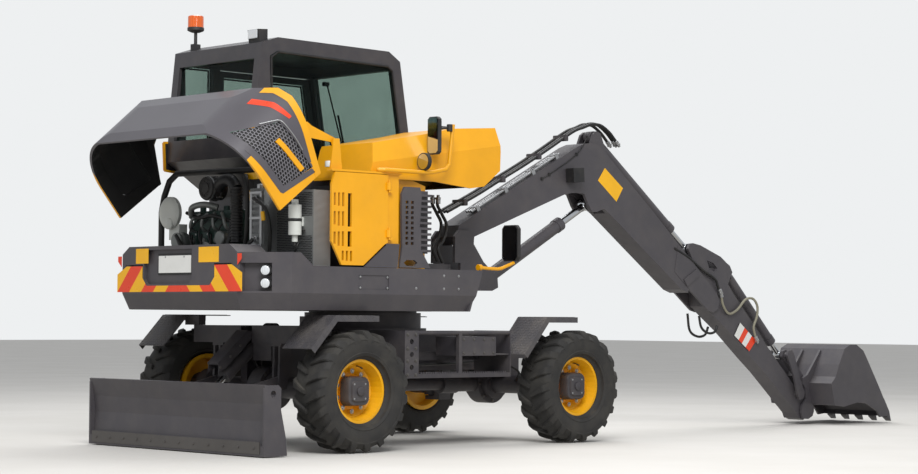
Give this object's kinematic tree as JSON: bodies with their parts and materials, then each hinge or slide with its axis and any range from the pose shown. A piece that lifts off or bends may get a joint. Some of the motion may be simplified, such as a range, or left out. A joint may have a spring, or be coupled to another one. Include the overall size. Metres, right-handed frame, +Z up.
{
  "type": "wheeled excavator",
  "caption": "Compact wheeled excavator with offset folding boom, bucket, dozer blade, cab and open engine hood",
  "frame": {"origin": "on the ground midway along the overall length and on the centre plane between the wheels", "axes": "+X forward towards the boom and bucket, +Y to the left side with the cab, +Z up"},
  "size_m": [7.7354, 1.9869, 3.05],
  "materials": {
    "body_grey": "satin",
    "body_yellow": "satin",
    "body_black": "satin",
    "rod_chrome": "polished",
    "rubber_tyre": "matte",
    "glass": "clear",
    "trim_plastic": "matte",
    "seat_fabric": "woven",
    "machinery": "cast",
    "alloy": "brushed"
  },
  "bodies": {
    "undercarriage": {"chassis": "body_grey", "fenders": "body_grey", "side_steps": "body_black", "rear_axle": "body_grey", "front_axle": "body_grey"},
    "knuckle_left": {"knuckle_left": "body_grey"},
    "knuckle_right": {"knuckle_right": "body_grey"},
    "wheel_front_left": {"tyre_front_left": "rubber_tyre", "rim_front_left": "body_yellow"},
    "wheel_front_right": {"tyre_front_right": "rubber_tyre", "rim_front_right": "body_yellow"},
    "wheel_rear_left": {"tyre_rear_left": "rubber_tyre", "rim_rear_left": "body_yellow"},
    "wheel_rear_right": {"tyre_rear_right": "rubber_tyre", "rim_rear_right": "body_yellow"},
    "blade": {"blade": "body_grey"},
    "blade_cylinder": {"blade_barrel": "body_black"},
    "blade_rod": {"blade_rod": "rod_chrome"},
    "upper": {"upper_frame": "body_grey", "counterweight": "body_grey", "engine_block": "machinery", "air_filter": "trim_plastic", "coolant_tank": "trim_plastic", "cooling_pack": "alloy", "bay_frame": "body_black", "tank_housing": "body_black", "guard_panel": "body_grey", "kick_panel": "body_grey", "cab_shell": "body_grey", "cab_glass": "glass", "cab_interior": "seat_fabric", "lamps": "trim_plastic", "handrail": "body_black", "mirrors": "trim_plastic"},
    "side_door": {"side_door": "body_yellow"},
    "nose_cover": {"nose_cover": "body_yellow"},
    "cab_door": {"cab_door": "body_grey", "door_glass": "glass"},
    "hood": {"hood": "body_grey", "hood_rim": "body_yellow", "hood_grille": "trim_plastic"},
    "swing_post": {"swing_post": "body_grey"},
    "boom": {"boom": "body_grey", "boom_pipes": "alloy", "boom_lamp": "trim_plastic"},
    "boom_cylinder": {"boom_barrel": "body_grey"},
    "boom_rod": {"boom_rod": "rod_chrome"},
    "arm": {"arm": "body_grey"},
    "arm_cylinder": {"arm_barrel": "body_grey"},
    "arm_rod": {"arm_rod": "rod_chrome"},
    "bucket_cylinder": {"bucket_barrel": "body_grey"},
    "bucket_rod": {"bucket_rod": "rod_chrome"},
    "rocker": {"rocker": "body_grey"},
    "link": {"link": "body_grey"},
    "bucket": {"bucket": "body_grey"}
  },
  "joints": [
    {"name": "steer_left", "type": "hinge", "parent": "undercarriage", "child": "knuckle_left", "pos_m": [-0.705, 0.6, 0.408], "axis": [0, 0, 1], "range_deg": [-25, 25]},
    {"name": "steer_right", "type": "hinge", "parent": "undercarriage", "child": "knuckle_right", "pos_m": [-0.705, -0.6, 0.408], "axis": [0, 0, 1], "range_deg": [-25, 25]},
    {"name": "spin_front_left", "type": "hinge", "parent": "knuckle_left", "child": "wheel_front_left", "pos_m": [-0.705, 0.83, 0.408], "axis": [0, 1, 0], "continuous": true},
    {"name": "spin_front_right", "type": "hinge", "parent": "knuckle_right", "child": "wheel_front_right", "pos_m": [-0.705, -0.83, 0.408], "axis": [0, 1, 0], "continuous": true},
    {"name": "spin_rear_left", "type": "hinge", "parent": "undercarriage", "child": "wheel_rear_left", "pos_m": [-2.805, 0.83, 0.408], "axis": [0, 1, 0], "continuous": true},
    {"name": "spin_rear_right", "type": "hinge", "parent": "undercarriage", "child": "wheel_rear_right", "pos_m": [-2.805, -0.83, 0.408], "axis": [0, 1, 0], "continuous": true},
    {"name": "blade_lift", "type": "hinge", "parent": "undercarriage", "child": "blade", "pos_m": [-2.985, 0, 0.45], "axis": [0, 1, 0], "range_deg": [-12, 40]},
    {"name": "blade_cylinder_tilt", "type": "hinge", "parent": "undercarriage", "child": "blade_cylinder", "pos_m": [-2.799, 0, 0.815], "axis": [0, 1, 0], "range_deg": [-6.3, 20.7]},
    {"name": "blade_rod_slide", "type": "slide", "parent": "blade_cylinder", "child": "blade_rod", "axis": [-0.7756, 0, -0.6312], "range_m": [-0.1468, 0.0444]},
    {"name": "upper_slew", "type": "hinge", "parent": "undercarriage", "child": "upper", "pos_m": [-1.955, 0, 0.94], "axis": [0, 0, 1], "continuous": true},
    {"name": "cab_door", "type": "hinge", "parent": "upper", "child": "cab_door", "pos_m": [-2.652, 0.868, 1.9], "axis": [0, 0, 1], "range_deg": [0, 80]},
    {"name": "hood_lift", "type": "hinge", "parent": "upper", "child": "hood", "pos_m": [-2.975, 0, 2.06], "axis": [0, -1, 0], "range_deg": [0, 50]},
    {"name": "nose_cover", "type": "hinge", "parent": "upper", "child": "nose_cover", "pos_m": [-2.375, -0.575, 1.86], "axis": [0, 1, 0], "range_deg": [0, 45]},
    {"name": "side_door", "type": "hinge", "parent": "upper", "child": "side_door", "pos_m": [-2.541, -0.936, 1.6], "axis": [0, 0, 1], "range_deg": [0, 75]},
    {"name": "boom_swing", "type": "hinge", "parent": "upper", "child": "swing_post", "pos_m": [-1.335, -0.135, 1.17], "axis": [0, 0, 1], "range_deg": [-60, 75]},
    {"name": "boom_lift", "type": "hinge", "parent": "swing_post", "child": "boom", "pos_m": [-1.175, -0.135, 1.5], "axis": [0, -1, 0], "range_deg": [-38, 62]},
    {"name": "boom_cylinder_tilt", "type": "hinge", "parent": "swing_post", "child": "boom_cylinder", "pos_m": [-0.905, -0.135, 1.165], "axis": [0, -1, 0], "range_deg": [-37.8, 61.6]},
    {"name": "boom_rod_slide", "type": "slide", "parent": "boom_cylinder", "child": "boom_rod", "axis": [0.8754, 0, 0.4834], "range_m": [-0.2507, 0.4088]},
    {"name": "arm_swing", "type": "hinge", "parent": "boom", "child": "arm", "pos_m": [1.682, -0.135, 1.051], "axis": [0, 1, 0], "range_deg": [-4, 104]},
    {"name": "arm_cylinder_tilt", "type": "hinge", "parent": "boom", "child": "arm_cylinder", "pos_m": [0.305, -0.135, 2.335], "axis": [0, 1, 0], "range_deg": [-8.5, 0.5]},
    {"name": "arm_rod_slide", "type": "slide", "parent": "arm_cylinder", "child": "arm_rod", "axis": [0.8022, 0, -0.5971], "range_m": [-0.0283, 0.7238]},
    {"name": "bucket_curl", "type": "hinge", "parent": "arm", "child": "bucket", "pos_m": [2.935, -0.135, 0.107], "axis": [0, 1, 0], "range_deg": [-5, 165]},
    {"name": "rocker_swing", "type": "hinge", "parent": "arm", "child": "rocker", "pos_m": [2.845, -0.135, 0.265], "axis": [0, 1, 0], "range_deg": [-4.5, 144.7]},
    {"name": "link_swing", "type": "hinge", "parent": "rocker", "child": "link", "pos_m": [2.695, -0.135, 0.6], "axis": [0, 1, 0], "range_deg": [-66, 2.1]},
    {"name": "bucket_cylinder_tilt", "type": "hinge", "parent": "arm", "child": "bucket_cylinder", "pos_m": [1.954, -0.135, 1.311], "axis": [0, 1, 0], "range_deg": [-4.5, 0.3]},
    {"name": "bucket_rod_slide", "type": "slide", "parent": "bucket_cylinder", "child": "bucket_rod", "axis": [0.7216, 0, -0.6923], "range_m": [-0.0217, 0.6991]}
  ],
  "couplings": [
    {"joint": "steer_right", "follows": "steer_left", "ratio": 1},
    {"joint": "blade_cylinder_tilt", "follows": "blade_lift", "ratio": 0.5142},
    {"joint": "blade_rod_slide", "follows": "blade_lift", "m_per_rad": -0.2095},
    {"joint": "boom_cylinder_tilt", "follows": "boom_lift", "ratio": 0.991},
    {"joint": "boom_rod_slide", "follows": "boom_lift", "m_per_rad": 0.3773},
    {"joint": "arm_cylinder_tilt", "follows": "arm_swing", "ratio": -0.08},
    {"joint": "arm_rod_slide", "follows": "arm_swing", "m_per_rad": 0.3985},
    {"joint": "rocker_swing", "follows": "bucket_curl", "ratio": 0.8758},
    {"joint": "link_swing", "follows": "bucket_curl", "ratio": -0.3988},
    {"joint": "bucket_cylinder_tilt", "follows": "bucket_curl", "ratio": -0.0264},
    {"joint": "bucket_rod_slide", "follows": "bucket_curl", "m_per_rad": 0.2426}
  ]
}
